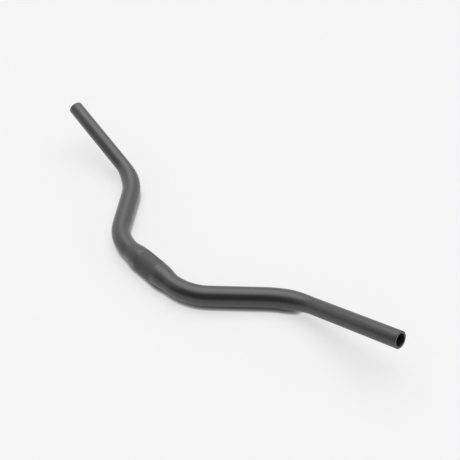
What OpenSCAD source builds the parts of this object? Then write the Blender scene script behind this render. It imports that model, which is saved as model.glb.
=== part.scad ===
// Riser handlebar for a city or trail bicycle: one aluminium tube, 31.8 mm at the
// stem clamp, swaged down to the arms and again to the grips, then bent four times.
//
// Origin: centre of the clamp. +X runs along the clamp to the rider's right, +Y is up
// as ridden and +Z points back to the rider. The bar lies on the front of its clamp
// and of its two arms, so +Z is up as it lies and the open ends stand off the floor.
// One half is built outwards from the origin and the other half is its mirror image.

/* [Overall size] */
// Width between the centres of the two open ends
bar_w = 660; // [550:5:800]
// Height of the open ends above the clamp's axis, as ridden
rise = 109.5; // [85:0.5:135]

/* [Bends] */
// Distance between the inner bends' corners, where the straight runs would cross
centre_w = 147; // [134:1:180]
// Angle between the clamp's axis and each arm
arm_angle = 47; // [39:0.5:57]
// Slant of the grips towards the rider, seen from above
backsweep = 16.8; // [10:0.2:22]
// Slant of the grips upwards, seen from the front
upsweep = 2.8; // [0:0.2:6]
// Radius of the inner bends along the tube's axis
inner_bend_r = 73; // [55:1:88]
// Radius of the outer bends along the tube's axis
outer_bend_r = 86; // [62:1:106]

/* [Tube] */
// Outside diameter where the stem clamps
clamp_d = 31.8; // [31.8, 35]
// Length of the cylinder that the stem clamps
clamp_len = 34; // [28:1:42]
// Wall at the clamp
clamp_wall = 2.4; // [2:0.1:3.2]
// Outside diameter of the arms and the inner bends
arm_d = 27; // [24:0.1:28.6]
// Wall of the arms
arm_wall = 2.5; // [2:0.1:3.2]
// Outside diameter of the grips
grip_d = 22.2; // [22, 22.2]
// Wall of the grips, thickest because the tube is squeezed most there
grip_wall = 3; // [2.2:0.1:3.4]
// Length of the taper in the outer bend, which ends where the grip begins
taper_len = 40; // [28:1:48]

/* [Cut ends] */
// Round on the outer edge of each open end
outer_edge_r = 0.8; // [0.3:0.1:1.2]
// Round on the inner edge of each open end
inner_edge_r = 0.5; // [0.2:0.1:0.9]

/* [Hidden] */
$fn = 96;

satin_black = [0.1, 0.1, 0.105];

// Sides of the tapered bend's rings, and steps along it
taper_sides = 48;
taper_steps = 12;
// Neighbouring runs lap, so that the tube fuses into one solid. Each run goes on for
// lap_len past the joint. One of the two lies lap_skin deeper in the wall, and the
// other dips lap_dip below it at its tip, so that no two skins coincide.
lap_len = 0.8;
lap_skin = 0.04;
lap_dip = 0.2;
// Steps along each shoulder beside the clamp, and in a quarter round of a cut edge
shoulder_steps = 12;
edge_steps = 5;

clamp_r = clamp_d / 2;
arm_r = arm_d / 2;
grip_r = grip_d / 2;
clamp_bore_r = clamp_r - clamp_wall;
arm_bore_r = arm_r - arm_wall;
grip_bore_r = grip_r - grip_wall;

// Directions of an arm and of a grip on the +X side
arm_dir = [cos(arm_angle), sin(arm_angle), 0];
grip_slope = [1, tan(upsweep), tan(backsweep)];
grip_dir = grip_slope / norm(grip_slope);

// From corner to corner: the arm and the grip lengths that give the width and the rise
out_x = bar_w / 2 - centre_w / 2;
cross_xy = arm_dir.y * grip_dir.x - arm_dir.x * grip_dir.y;
arm_span = (rise * grip_dir.x - out_x * grip_dir.y) / cross_xy;
grip_span = (out_x * arm_dir.y - rise * arm_dir.x) / cross_xy;

// The outer bend turns the tube by outer_angle, in a plane rolled by outer_roll
// about the arm from the plane of the inner bend
outer_angle = acos(arm_dir * grip_dir);
outer_roll = atan2(grip_dir.z, arm_dir.x * grip_dir.y - arm_dir.y * grip_dir.x);

// Straight runs that are left between the bends
inner_setback = inner_bend_r * tan(arm_angle / 2);
outer_setback = outer_bend_r * tan(outer_angle / 2);
centre_run = centre_w / 2 - inner_setback;
arm_run = arm_span - inner_setback - outer_setback;
grip_run = grip_span - outer_setback;

// The shoulders end a little before the inner bends, where the tube is plain
shoulder_end = centre_run - 2 * lap_len;

// The outer bend is plain up to the taper
taper_angle = taper_len / outer_bend_r * 180 / PI;
plain_angle = outer_angle - taper_angle;

// Lean that brings the arms' undersides down to the level of the clamp's
arm_reach = (arm_span - outer_setback) * arm_dir.y;
lie_angle = asin((clamp_r - arm_r) / arm_reach);

// Smooth step from 0 to 1, level at both ends
function ease(t) = t * t * (3 - 2 * t);
function mix(a, b, t) = a + (b - a) * t;

// Edge of a shoulder from r_clamp to r_arm: level beside the clamp and steepest at its end.
// way is the direction along the tube.
function shoulder(r_clamp, r_arm, way) =
    [for (i = [0 : shoulder_steps])
        let (t = i / shoulder_steps)
        [mix(r_clamp, r_arm, t * t), way * mix(clamp_len / 2, shoulder_end, t)]];

// Quarter round of the given radius about centre, from one angle to the other
function quarter(centre, radius, from, to) =
    [for (i = [0 : edge_steps])
        let (a = mix(from, to, i / edge_steps)) centre + radius * [cos(a), sin(a)]];

// One ring of the tapered bend: a circle of radius r in the cross-section at angle a
function ring(a, r) =
    [for (j = [0 : taper_sides - 1])
        let (
            turn = 360 * j / taper_sides,
            off = outer_bend_r - r * cos(turn)
        )
        [outer_bend_r - off * cos(a), r * sin(turn), off * sin(a)]];

// Goes on from the end of a bend that starts at the origin along +Z and turns to +X
module after_bend(radius, angle) {
    translate([radius, 0, 0])
        rotate([0, angle, 0])
            translate([-radius, 0, 0])
                children();
}

// Bent tube of the arms' section that starts at the origin along +Z and turns to +X
module bent_tube(radius, angle) {
    lap_angle = lap_len / radius * 180 / PI;
    translate([radius, 0, 0])
        rotate([90, 0, 180])
            rotate([0, 0, -lap_angle])
                rotate_extrude(angle = angle + 2 * lap_angle)
                    translate([radius, 0])
                        difference() {
                            circle(r = arm_r - lap_skin);
                            circle(r = arm_bore_r + lap_skin);
                        }
}

// Tip of a straight run, outside and bore, that dips into the wall of the bend beyond it.
// z is the joint and way the direction out of the run.
function tip(r_out, r_bore, z, way) =
    [[r_out, z], [r_out - lap_dip, z + way * lap_len],
     [r_bore + lap_dip, z + way * lap_len], [r_bore, z]];

function backwards(points) = [for (i = [len(points) - 1 : -1 : 0]) points[i]];

// Straight tube of the arms from the origin along +Z
module arm_tube() {
    rotate_extrude()
        polygon(concat(
            tip(arm_r, arm_bore_r, arm_run, 1),
            backwards(tip(arm_r, arm_bore_r, 0, -1))
        ));
}

// Tapered stretch of the outer bend, from the arm's section to the grip's. The flats of
// its rings, not their corners, lie on the outside.
module tapered_bend() {
    lap_angle = lap_len / outer_bend_r * 180 / PI;
    end_r = grip_r + lap_skin;
    end_bore_r = grip_bore_r - lap_skin;
    // Angle, outside radius and bore radius of each ring
    stations = [
        [-lap_angle, arm_r - lap_dip, arm_bore_r + lap_dip],
        for (i = [0 : taper_steps])
            let (t = i / taper_steps)
            [t * taper_angle, mix(arm_r, end_r, ease(t)), mix(arm_bore_r, end_bore_r, ease(t))],
        [taper_angle + lap_angle, end_r - lap_dip, end_bore_r + lap_dip]
    ];
    outside = [for (s = stations) each ring(s[0], s[1] / cos(180 / taper_sides))];
    inside = [for (s = stations) each ring(s[0], s[2])];
    n = taper_sides;
    bore = len(outside);
    last = bore - n;
    skin = [for (i = [0 : len(stations) - 2], j = [0 : n - 1])
        let (a = i * n + j, b = i * n + (j + 1) % n)
        each [[a, a + n, b + n], [a, b + n, b]]];
    wall = [for (f = skin) [f[0] + bore, f[2] + bore, f[1] + bore]];
    rims = [for (j = [0 : n - 1])
        let (a = j, b = (j + 1) % n)
        each [
            [a, b, b + bore],
            [a, b + bore, a + bore],
            [a + last, b + bore + last, b + last],
            [a + last, a + bore + last, b + bore + last]
        ]];
    polyhedron(points = concat(outside, inside), faces = concat(skin, wall, rims));
}

// Clamp and both of its shoulders, along Z, as far as the inner bends
module clamp_zone() {
    rotate_extrude()
        polygon(concat(
            shoulder(clamp_r, arm_r, 1),
            tip(arm_r, arm_bore_r, centre_run, 1),
            backwards(shoulder(clamp_bore_r, arm_bore_r, 1)),
            shoulder(clamp_bore_r, arm_bore_r, -1),
            backwards(tip(arm_r, arm_bore_r, -centre_run, -1)),
            backwards(shoulder(clamp_r, arm_r, -1))
        ));
}

// Straight grip from the origin along +Z, with rounded edges at its open end
module grip() {
    outer_edge = quarter([grip_r - outer_edge_r, grip_run - outer_edge_r], outer_edge_r, 0, 90);
    inner_edge = quarter([grip_bore_r + inner_edge_r, grip_run - inner_edge_r], inner_edge_r, 90, 180);
    rotate_extrude()
        polygon(concat([[grip_bore_r, -lap_len], [grip_r, -lap_len]], outer_edge, inner_edge));
}

// Everything on one side of the clamp, which starts along +Z and turns to +X
module half_bar() {
    translate([0, 0, centre_run]) {
        bent_tube(inner_bend_r, arm_angle);
        after_bend(inner_bend_r, arm_angle) {
            arm_tube();
            translate([0, 0, arm_run])
                rotate([0, 0, outer_roll]) {
                    bent_tube(outer_bend_r, plain_angle);
                    after_bend(outer_bend_r, plain_angle)
                        tapered_bend();
                    after_bend(outer_bend_r, outer_angle)
                        grip();
                }
        }
    }
}

// The whole bar is one bent tube, open at both ends
module handlebar() {
    color(satin_black)
        rotate([-lie_angle, 0, 0])
            union() {
                rotate([90, 0, 90])
                    clamp_zone();
                for (side = [0, 1])
                    mirror([side, 0, 0])
                        rotate([90, 0, 90])
                            half_bar();
            }
}

handlebar();
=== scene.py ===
import math

import bpy
import numpy as np
from mathutils import Matrix, Vector


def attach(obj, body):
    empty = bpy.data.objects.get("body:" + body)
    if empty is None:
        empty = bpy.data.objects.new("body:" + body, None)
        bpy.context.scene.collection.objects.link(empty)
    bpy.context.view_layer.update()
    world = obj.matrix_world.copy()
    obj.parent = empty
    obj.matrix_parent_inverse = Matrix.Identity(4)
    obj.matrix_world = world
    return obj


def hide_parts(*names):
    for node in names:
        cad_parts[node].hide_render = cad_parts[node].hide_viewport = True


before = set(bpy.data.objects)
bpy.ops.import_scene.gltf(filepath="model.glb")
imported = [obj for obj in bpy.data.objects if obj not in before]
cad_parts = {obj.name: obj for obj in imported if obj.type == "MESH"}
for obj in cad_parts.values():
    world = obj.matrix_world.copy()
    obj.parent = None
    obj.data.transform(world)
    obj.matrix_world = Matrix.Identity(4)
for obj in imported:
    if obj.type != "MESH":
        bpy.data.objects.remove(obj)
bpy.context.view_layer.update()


# The handlebar
# One aluminium tube, thick where the stem clamps it and swaged down to the arms and again to
# the grips. It is bent four times, knurled at the clamp between two rollers, cut square,
# deburred, bead blasted and anodised black all over.

bar_w, rise, centre_w = 0.660, 0.1095, 0.147
arm_angle, backsweep, upsweep = math.radians(47), math.radians(16.8), math.radians(2.8)
inner_bend_r, outer_bend_r = 0.073, 0.086
clamp_r, arm_r, grip_r = 0.0159, 0.0135, 0.0111
clamp_bore_r, arm_bore_r, grip_bore_r = 0.0135, 0.011, 0.0081
clamp_half, knurl_half, taper_len = 0.017, 0.0168, 0.040
outer_edge_r, inner_edge_r = 0.0008, 0.0005

x_axis, y_axis, z_axis = np.eye(3)
arm_dir = np.array([math.cos(arm_angle), math.sin(arm_angle), 0.0])
grip_dir = np.array([1.0, math.tan(upsweep), math.tan(backsweep)])
grip_dir /= np.linalg.norm(grip_dir)
outer_angle = math.acos(arm_dir @ grip_dir)
# Towards the centre of the outer bend, and the axis that the bend turns about
outer_in = grip_dir - (grip_dir @ arm_dir) * arm_dir
outer_in /= np.linalg.norm(outer_in)
outer_axis = np.cross(arm_dir, outer_in)

# Corner to corner lengths from the width and the rise, and the runs that the bends leave
corner_run = np.array([(bar_w - centre_w) / 2, rise])
arm_span, grip_span = np.linalg.solve(np.array([arm_dir[:2], grip_dir[:2]]).T, corner_run)
inner_set = inner_bend_r * math.tan(arm_angle / 2)
outer_set = outer_bend_r * math.tan(outer_angle / 2)
inner_start = centre_w / 2 - inner_set
arm_start = inner_start + inner_bend_r * arm_angle
outer_start = arm_start + arm_span - inner_set - outer_set
grip_start = outer_start + outer_bend_r * outer_angle
half_len = grip_start + grip_span - outer_set
# The arms lean until their undersides come down to the level of the thicker clamp's
lean = math.asin((clamp_r - arm_r) / ((arm_span - outer_set) * arm_dir[1]))


def tube_points(s, r, t):
    """Points of the tube at distance s along it from the clamp, radius r and angle t round it.

    p = P + r (cos t N + sin t B), and x -> -x where s < 0. With u the |s| spent in a run,
    f = u / R turned in the inner bend and g = u / R in the outer one,
    P = u0 X + R (sin f X + (1 - cos f) Y) + u2 A + R (sin g A + (1 - cos g) C) + u4 G,
    where A and G are the arm's and the grip's directions and C points to the outer bend's
    centre. N starts as Z and B as Y; the inner bend turns B by f about Z and the outer one
    turns both by g about A x C. At last the whole leans by lean about X."""
    a = np.abs(s)
    f = np.clip(a - inner_start, 0, arm_start - inner_start) / inner_bend_r
    g = np.clip(a - outer_start, 0, grip_start - outer_start) / outer_bend_r
    runs = [np.minimum(a, inner_start), np.clip(a - arm_start, 0, outer_start - arm_start),
            np.maximum(a - grip_start, 0)]
    f, g = f[:, None], g[:, None]
    centre = (runs[0][:, None] * x_axis + inner_bend_r * (np.sin(f) * x_axis + (1 - np.cos(f)) * y_axis)
              + runs[1][:, None] * arm_dir
              + outer_bend_r * (np.sin(g) * arm_dir + (1 - np.cos(g)) * outer_in)
              + runs[2][:, None] * grip_dir)
    side = np.cos(f) * y_axis - np.sin(f) * x_axis
    up = np.broadcast_to(z_axis, side.shape)
    turned = [v * np.cos(g) + np.cross(outer_axis, v) * np.sin(g)
              + (v @ outer_axis)[:, None] * outer_axis * (1 - np.cos(g)) for v in (up, side)]
    p = (centre[:, None, :] + r[..., None] * (np.cos(t)[..., None] * turned[0][:, None, :]
                                              + np.sin(t)[..., None] * turned[1][:, None, :]))
    p[..., 0] *= np.where(s < 0, -1, 1)[:, None]
    return p @ np.array(Matrix.Rotation(-lean, 3, "X")).T


# The shoulders end just before the inner bends, in a corner that is rounded over corner_half
# to each side, and the tapers end with the outer bends
shoulder_gap, corner_half = 0.0016, 0.004
shoulder_end, taper_start = inner_start - shoulder_gap, grip_start - taper_len


def tube_radius(s, clamp, arm, grip):
    """Radius at s: clamp + (arm - clamp) h(u) + (grip - arm) v^2 (3 - 2v).

    u goes from 0 to 1 over a shoulder and v over a taper. h is u^2 up to a = 1 - e and 1 from
    b = 1 + e on. Between them w goes from 0 to 1, and h is the cubic that meets both in height
    and slope, a^2 (2w^3 - 3w^2 + 1) + 4 e a (w^3 - 2w^2 + w) + w^2 (3 - 2w)."""
    u = np.clip((np.abs(s) - clamp_half) / (shoulder_end - clamp_half), 0, 2)
    e = corner_half / (shoulder_end - clamp_half)
    w = np.clip((u - 1 + e) / (2 * e), 0, 1)
    corner = ((1 - e) ** 2 * (2 * w ** 3 - 3 * w ** 2 + 1)
              + 4 * e * (1 - e) * (w ** 3 - 2 * w ** 2 + w)
              + w ** 2 * (3 - 2 * w))
    h = np.where(u < 1 - e, u ** 2, corner)
    v = np.clip((np.abs(s) - taper_start) / taper_len, 0, 1)
    return clamp + (arm - clamp) * h + (grip - arm) * v ** 2 * (3 - 2 * v)


def stations(on_shoulder, on_corner, on_inner, on_outer, on_taper):
    """Distances along one half at which the tube gets a row of points.

    Each count is for one run, which it divides evenly from end to end: the shoulder, its corner,
    the inner bend, the outer bend up to the taper, and the taper. Straight runs need none."""
    return np.concatenate([
        np.linspace(clamp_half, shoulder_end - corner_half, on_shoulder),
        np.linspace(shoulder_end - corner_half, shoulder_end + corner_half, on_corner)[1:],
        np.linspace(shoulder_end + corner_half, arm_start, on_inner)[1:],
        np.linspace(outer_start, taper_start, on_outer),
        np.linspace(taper_start, grip_start, on_taper)[1:],
    ])


# The outside also gets a row where the knurl ends and one at about the middle of each grip
mid_grip = grip_start + 0.060
outer_half = np.concatenate([[knurl_half], stations(11, 9, 16, 8, 13), [mid_grip]])
bore_half = stations(5, 4, 8, 5, 7)

# The knurl: two crossed sets of grooves at 30 degrees to the tube, 1.2 mm apart, 72 of each
# round the clamp. What the rollers press out of the grooves stands up as crests. There are
# four columns of points to a groove, and from row to row a groove moves on by half a column.
# Every other row is turned by as much, so that the mesh's own diagonals run along the grooves.
grooves, per_groove, groove_angle = 72, 4, math.radians(30)
knurl_crest, knurl_depth, knurl_fade = 0.0002, 0.0006, 0.0009
columns = grooves * per_groove
knurl_pitch = 2 * math.pi * clamp_r / grooves / math.tan(groove_angle)
row_step = knurl_pitch / (2 * per_groove)
# An even number of rows to each side of the middle, so that neither end row is turned
knurl_rows = 2 * int((knurl_half - row_step / 2) / row_step / 2)
knurl_row = np.arange(-knurl_rows, knurl_rows + 1)

# Rounds of the cut edges, as (distance from the tip, radius)
turn = np.linspace(0, math.pi / 2, 6)
outer_round = np.stack([
    outer_edge_r * (1 - np.sin(turn)),
    grip_r - outer_edge_r * (1 - np.cos(turn)),
], 1)
inner_round = np.stack([
    inner_edge_r * (1 - np.cos(turn)),
    grip_bore_r + inner_edge_r * (1 - np.sin(turn)),
], 1)
rim = np.concatenate([outer_round, inner_round])

# One closed loop of rows: out along the outside to the right, back through the bore
row_s = np.concatenate([
    -outer_half[::-1], knurl_row * row_step, outer_half, half_len - rim[:, 0],
    bore_half[::-1], -bore_half, rim[::-1, 0] - half_len,
])
outside = len(outer_half) * 2 + len(knurl_row)
row_r = np.concatenate([
    tube_radius(row_s[:outside], clamp_r, arm_r, grip_r), rim[:, 1],
    tube_radius(row_s[outside + len(rim):-len(rim)], clamp_bore_r, arm_bore_r, grip_bore_r),
    rim[::-1, 1],
])
knurled = np.zeros(len(row_s), int)
knurled[len(outer_half):len(outer_half) + len(knurl_row)] = 1
row_number = np.zeros(len(row_s), int)
row_number[knurled == 1] = knurl_row
stagger = row_number % 2

# Height of the knurl, from the distance to the nearest groove of either set, as a share of the
# distance between grooves. It fades out towards both ends of the band.
column = np.arange(columns)[None, :] + stagger[:, None] / 2
across = column / per_groove
lengthwise = row_number[:, None] / (2 * per_groove)
near = np.minimum(*[np.abs((across + sign * lengthwise + 0.5) % 1 - 0.5) for sign in (1, -1)])
relief = knurl_crest - knurl_depth * (1 - 2 * near)
relief *= (knurled * np.clip((knurl_half - np.abs(row_s)) / knurl_fade, 0, 1))[:, None]
points = tube_points(row_s, row_r[:, None] + relief, 2 * math.pi * column / columns)

# Four corners of every cell. A cell of the knurl is split along the shorter diagonal.
rows = len(row_s)
i, j = np.meshgrid(np.arange(rows), np.arange(columns), indexing="ij")
i2, j2 = (i + 1) % rows, (j + 1) % columns
a, b, c, d = i * columns + j, i * columns + j2, i2 * columns + j2, i2 * columns + j
in_knurl = np.broadcast_to((knurled * np.roll(knurled, -1) == 1)[:, None], (rows, columns))
odd = in_knurl & (stagger[:, None] == 1)
even = in_knurl & (stagger[:, None] == 0)
quads = np.stack([a, d, c, b], -1)[~in_knurl]
tris = np.concatenate([np.stack(corners, -1)[mask] for mask, corners in [
    (even, (a, d, b)), (even, (d, c, b)), (odd, (a, d, c)), (odd, (a, c, b))]])
mesh = bpy.data.meshes.new("handlebar_tube")
mesh.from_pydata(points.reshape(-1, 3), [], quads.tolist() + tris.tolist())
mesh.shade_smooth()
tube = bpy.data.objects.new("handlebar_tube", mesh)
bpy.context.scene.collection.objects.link(tube)

# Black anodising on a blasted surface: near black, satin, slightly mottled, with a fine grain
# whose edges catch light that grazes them
black = bpy.data.materials.new("black_anodised")
black.use_nodes = True
nodes, links = black.node_tree.nodes, black.node_tree.links
shader = nodes["Principled BSDF"]
place = nodes.new("ShaderNodeTexCoord")
mottle = nodes.new("ShaderNodeTexNoise")
mottle.inputs["Scale"].default_value = 35
mottle.inputs["Detail"].default_value = 4
links.new(place.outputs["Object"], mottle.inputs["Vector"])
tone = nodes.new("ShaderNodeValToRGB")
tone.color_ramp.elements[0].position = 0.35
tone.color_ramp.elements[0].color = (0.0164, 0.0159, 0.0190, 1)
tone.color_ramp.elements[1].position = 0.65
tone.color_ramp.elements[1].color = (0.0186, 0.0181, 0.0215, 1)
links.new(mottle.outputs["Fac"], tone.inputs["Fac"])
links.new(tone.outputs["Color"], shader.inputs["Base Color"])
gloss = nodes.new("ShaderNodeMapRange")
gloss.inputs["To Min"].default_value = 0.355
gloss.inputs["To Max"].default_value = 0.385
links.new(mottle.outputs["Fac"], gloss.inputs["Value"])
links.new(gloss.outputs["Result"], shader.inputs["Roughness"])
shader.inputs["IOR"].default_value = 1.75
shader.inputs["Sheen Weight"].default_value = 0.5
shader.inputs["Sheen Roughness"].default_value = 0.3
grain = nodes.new("ShaderNodeTexNoise")
grain.inputs["Scale"].default_value = 4000
grain.inputs["Detail"].default_value = 2
links.new(place.outputs["Object"], grain.inputs["Vector"])
bump = nodes.new("ShaderNodeBump")
bump.inputs["Strength"].default_value = 0.15
bump.inputs["Distance"].default_value = 0.00005
links.new(grain.outputs["Fac"], bump.inputs["Height"])
links.new(bump.outputs["Normal"], shader.inputs["Normal"])
mesh.materials.append(black)
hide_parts("handlebar")
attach(tube, "root")


# The floor
# A plain sheet of pale paper that the bar lies on. It runs past the picture on every side and
# is as pale as the backdrop of a product photograph.

floor_z, half_side = points[..., 2].min(), 6
floor_mesh = bpy.data.meshes.new("floor")
floor_mesh.from_pydata(
    [(x * half_side, y * half_side, floor_z) for x, y in ((-1, -1), (1, -1), (1, 1), (-1, 1))],
    [], [(0, 1, 2, 3)],
)
floor = bpy.data.objects.new("floor", floor_mesh)
bpy.context.scene.collection.objects.link(floor)
paper = bpy.data.materials.new("pale_paper")
paper.use_nodes = True
nodes, links = paper.node_tree.nodes, paper.node_tree.links
shader, surface = nodes["Principled BSDF"], nodes["Material Output"]
place = nodes.new("ShaderNodeTexCoord")
fibre = nodes.new("ShaderNodeTexNoise")
fibre.inputs["Scale"].default_value = 3
links.new(place.outputs["Object"], fibre.inputs["Vector"])
tone = nodes.new("ShaderNodeValToRGB")
tone.color_ramp.elements[0].color = (0.956, 0.956, 0.956, 1)
tone.color_ramp.elements[1].color = (0.964, 0.964, 0.964, 1)
links.new(fibre.outputs["Fac"], tone.inputs["Fac"])
links.new(tone.outputs["Color"], shader.inputs["Base Color"])
shader.inputs["Roughness"].default_value = 1.0
shader.inputs["Specular IOR Level"].default_value = 0.0
# own_share of the paper's tone is its own where it is seen or reflected, as on an evenly lit
# backdrop. Near the tube that glow is darkened by ambient occlusion over a few millimetres,
# steepened by a power: painted shade along where the tube touches or hovers just over the paper.
own_share, painted_shade_reach, painted_shade_power = 0.6, 0.0065, 3.0
painted_shade_occlusion = nodes.new("ShaderNodeAmbientOcclusion")
painted_shade_occlusion.inputs["Distance"].default_value = painted_shade_reach
painted_shade_steepen = nodes.new("ShaderNodeMath")
painted_shade_steepen.operation = "POWER"
painted_shade_steepen.inputs[1].default_value = painted_shade_power
links.new(painted_shade_occlusion.outputs["AO"], painted_shade_steepen.inputs[0])
# The paper's own glow, with the painted shade near the tube multiplied into its strength
glow = nodes.new("ShaderNodeEmission")
links.new(tone.outputs["Color"], glow.inputs["Color"])
links.new(painted_shade_steepen.outputs["Value"], glow.inputs["Strength"])
ray = nodes.new("ShaderNodeLightPath")
seen = nodes.new("ShaderNodeMath")
seen.operation = "MAXIMUM"
links.new(ray.outputs["Is Camera Ray"], seen.inputs[0])
links.new(ray.outputs["Is Glossy Ray"], seen.inputs[1])
share = nodes.new("ShaderNodeMath")
share.operation = "MULTIPLY"
share.inputs[1].default_value = own_share
links.new(seen.outputs["Value"], share.inputs[0])
blend = nodes.new("ShaderNodeMixShader")
links.new(share.outputs["Value"], blend.inputs["Fac"])
links.new(shader.outputs["BSDF"], blend.inputs[1])
links.new(glow.outputs["Emission"], blend.inputs[2])
links.new(blend.outputs["Shader"], surface.inputs["Surface"])
floor_mesh.materials.append(paper)


# The light
# One wide soft lamp over the table, and a room round it, which the tube mirrors. The room is
# white beyond the bar, past its left grip, and dark on the camera's side.

lamp_side = Vector((-0.20, 0.26, 0.945))
overhead = bpy.data.lights.new("overhead", "SUN")
overhead.energy = 1.4
overhead.angle = math.radians(66)
lamp = bpy.data.objects.new("overhead", overhead)
lamp.rotation_euler = lamp_side.to_track_quat("Z", "Y").to_euler()
bpy.context.scene.collection.objects.link(lamp)

# The room's strength where the tube mirrors it goes from dark to white towards white_side. As
# a light on everything it is fill, and where the camera sees it behind the floor it is backdrop.
white_side, dark, white, fill, backdrop = (-0.80, 0.56, 0.20), 0.08, 1.0, 0.46, 0.9
world = bpy.data.worlds.new("studio")
bpy.context.scene.world = world
world.use_nodes = True
nodes, links = world.node_tree.nodes, world.node_tree.links
room = nodes["Background"]
place = nodes.new("ShaderNodeTexCoord")
beyond = nodes.new("ShaderNodeVectorMath")
beyond.operation = "DOT_PRODUCT"
beyond.inputs[1].default_value = white_side
links.new(place.outputs["Generated"], beyond.inputs[0])
wall = nodes.new("ShaderNodeMapRange")
wall.interpolation_type = "SMOOTHSTEP"
wall.inputs["From Min"].default_value = -0.45
wall.inputs["From Max"].default_value = 0.55
wall.inputs["To Min"].default_value = dark
wall.inputs["To Max"].default_value = white
links.new(beyond.outputs["Value"], wall.inputs["Value"])
ray = nodes.new("ShaderNodeLightPath")
mirrored = nodes.new("ShaderNodeMix")
mirrored.inputs["A"].default_value = fill
links.new(ray.outputs["Is Glossy Ray"], mirrored.inputs["Factor"])
links.new(wall.outputs["Result"], mirrored.inputs["B"])
strength = nodes.new("ShaderNodeMix")
strength.inputs["B"].default_value = backdrop
links.new(ray.outputs["Is Camera Ray"], strength.inputs["Factor"])
links.new(mirrored.outputs["Result"], strength.inputs["A"])
links.new(strength.outputs["Result"], room.inputs["Strength"])
room.inputs["Color"].default_value = (1, 1, 1, 1)


# The camera
# It stands off the right grip, 1.1 m from the clamp, and looks 42 degrees down at the space
# between the arms.

camera_data = bpy.data.cameras.new("camera")
camera_data.sensor_width = 36
camera_data.lens = 63.354
camera = bpy.data.objects.new("camera", camera_data)
camera.location = (0.65265, -0.44671, 0.76077)
right = Vector((0.67303, 0.73961, -0.00182))
down = Vector((0.49018, -0.44789, -0.74774))
ahead = Vector((-0.55385, 0.50236, -0.66399))
camera.rotation_euler = Matrix((right, -down, -ahead)).transposed().to_euler()
bpy.context.scene.collection.objects.link(camera)
bpy.context.scene.camera = camera
bpy.context.scene.view_settings.view_transform = "Standard"
